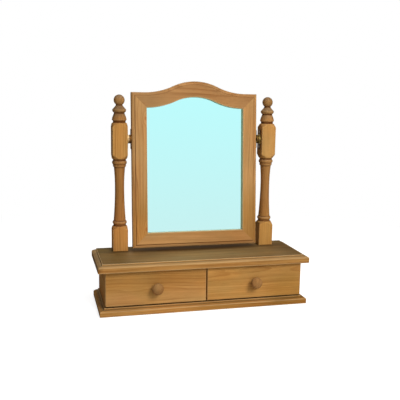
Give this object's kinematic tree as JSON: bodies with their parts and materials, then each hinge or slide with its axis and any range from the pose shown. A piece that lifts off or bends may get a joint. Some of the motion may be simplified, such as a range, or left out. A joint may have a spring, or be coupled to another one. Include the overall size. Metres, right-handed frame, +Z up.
{
  "type": "dressing table mirror",
  "caption": "Swing mirror in an arched, mitred pine frame between turned posts, on a shallow box base with two knobbed drawers side by side.",
  "frame": {"origin": "centre of the base board's underside, on the surface that the part stands on", "axes": "+Z up, +X to the right of someone who faces the mirror, -Y towards that person, who pulls the drawers that way"},
  "size_m": [0.6, 0.215, 0.6284],
  "materials": {
    "waxed_pine": "stained and waxed, satin",
    "plain_pine": "bare, sanded",
    "mirror_glass": "silvered float glass",
    "hardboard": "matte",
    "brass": "satin, dulled",
    "steel": "zinc plated",
    "fibre": "vulcanised fibre, matte"
  },
  "bodies": {
    "base": {"base_board": "waxed_pine", "top_board": "waxed_pine", "side_panel_left": "waxed_pine", "side_panel_right": "waxed_pine", "centre_divider": "waxed_pine", "back_panel": "waxed_pine", "top_dowels": "plain_pine", "base_screws": "steel", "back_screws": "steel", "post_left": "waxed_pine", "post_right": "waxed_pine", "post_screws": "steel", "post_plate_left": "brass", "post_plate_right": "brass", "post_plate_screws": "brass"},
    "mirror": {"frame_stile_left": "waxed_pine", "frame_stile_right": "waxed_pine", "frame_rail_bottom": "waxed_pine", "frame_rail_top": "waxed_pine", "mitre_dowels": "plain_pine", "mirror_glass": "mirror_glass", "mirror_backing": "hardboard", "backing_pins": "steel", "frame_plate_left": "brass", "frame_plate_right": "brass", "frame_plate_screws": "brass", "friction_washer_left": "fibre", "friction_washer_right": "fibre"},
    "drawer_left": {"drawer_left_front": "waxed_pine", "drawer_left_side_left": "plain_pine", "drawer_left_side_right": "plain_pine", "drawer_left_back": "plain_pine", "drawer_left_bottom": "plain_pine", "drawer_left_bottom_screws": "steel", "drawer_left_knob": "waxed_pine", "drawer_left_knob_screw": "steel"},
    "drawer_right": {"drawer_right_front": "waxed_pine", "drawer_right_side_left": "plain_pine", "drawer_right_side_right": "plain_pine", "drawer_right_back": "plain_pine", "drawer_right_bottom": "plain_pine", "drawer_right_bottom_screws": "steel", "drawer_right_knob": "waxed_pine", "drawer_right_knob_screw": "steel"}
  },
  "joints": [
    {"name": "mirror_tilt", "type": "hinge", "parent": "base", "child": "mirror", "pos_m": [0, 0.0705, 0.463], "axis": [1, 0, 0], "continuous": true},
    {"name": "drawer_left_slide", "type": "slide", "parent": "base", "child": "drawer_left", "axis": [0, -1, 0], "range_m": [0, 0.12]},
    {"name": "drawer_right_slide", "type": "slide", "parent": "base", "child": "drawer_right", "axis": [0, -1, 0], "range_m": [0, 0.12]}
  ]
}
